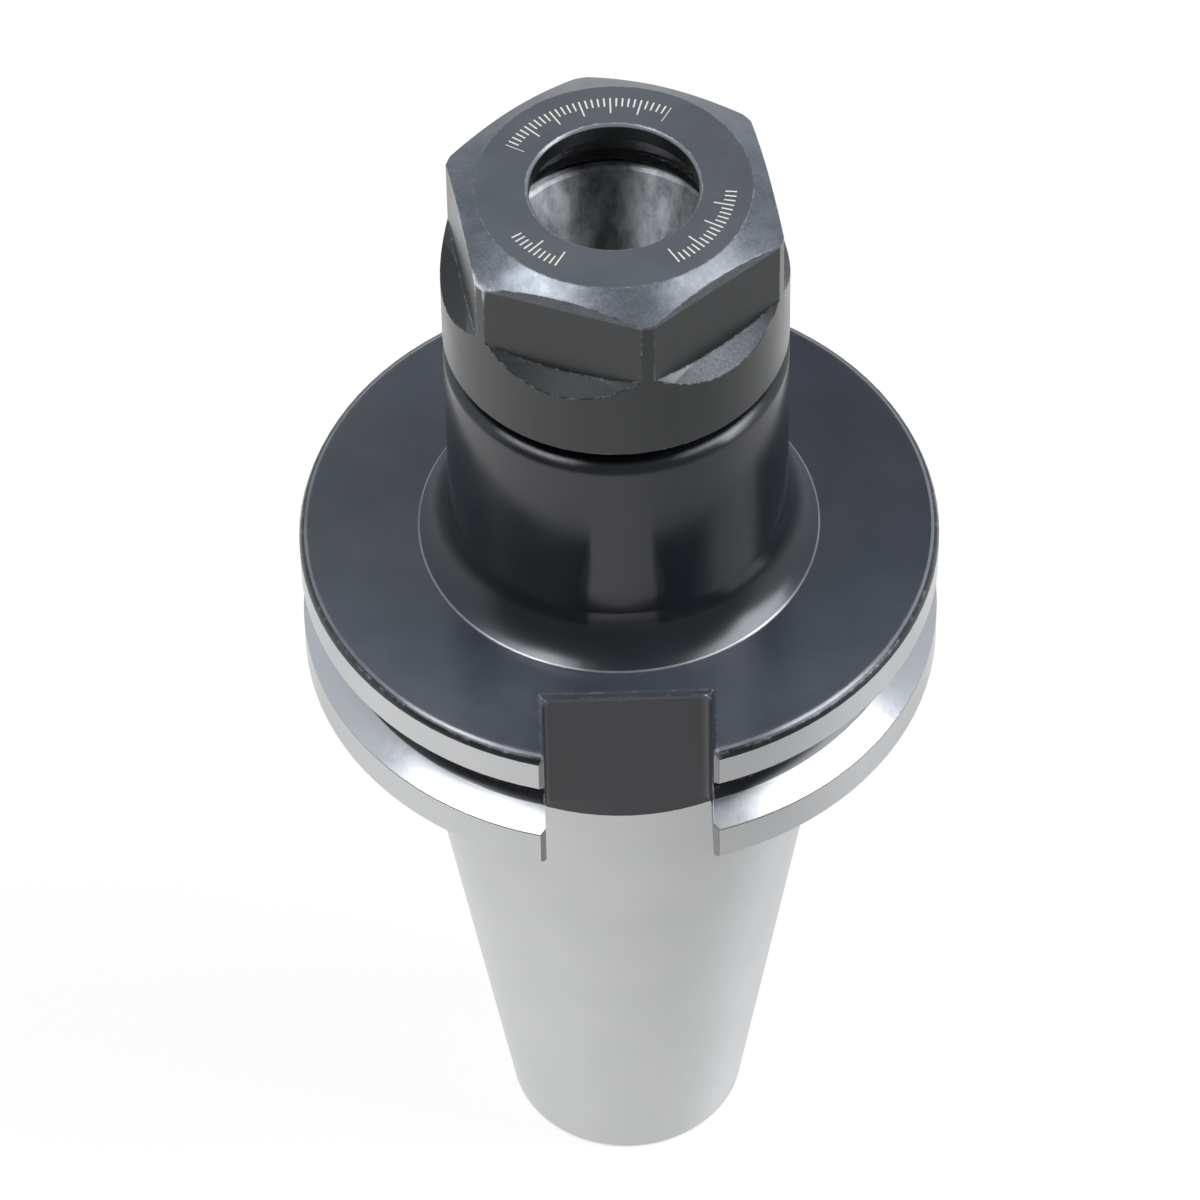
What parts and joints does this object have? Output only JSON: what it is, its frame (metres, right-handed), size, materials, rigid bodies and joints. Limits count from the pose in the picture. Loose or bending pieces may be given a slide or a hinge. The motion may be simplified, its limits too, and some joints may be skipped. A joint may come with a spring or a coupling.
{
  "type": "collet chuck holder",
  "caption": "Steep-taper V-flange tool holder with a collet socket in its nose and a hex clamping nut that draws a collet in.",
  "frame": {"origin": "centre of the taper's gauge circle, 44.45 mm in diameter", "axes": "+Z along the axis from the shank to the clamping nut, -Y out of the shallower key slot"},
  "size_m": [0.0636, 0.061, 0.135],
  "materials": {
    "holder_steel": "black oxide flange and neck, ground bright shank",
    "nut_steel": "satin black oxide",
    "screw_steel": "black oxide"
  },
  "bodies": {
    "holder": {"holder_body": "holder_steel"},
    "nut": {"clamping_nut": "nut_steel"},
    "stop": {"stop_screw": "screw_steel"}
  },
  "joints": [
    {"name": "nut_turn", "type": "hinge", "parent": "holder", "child": "nut", "pos_m": [0, 0, 0.0569], "axis": [0, 0, 1], "range_deg": [-250, 2050]},
    {"name": "stop_screw_travel", "type": "slide", "parent": "holder", "child": "stop", "axis": [0, 0, 1], "range_m": [-0.014, 0.01]}
  ]
}
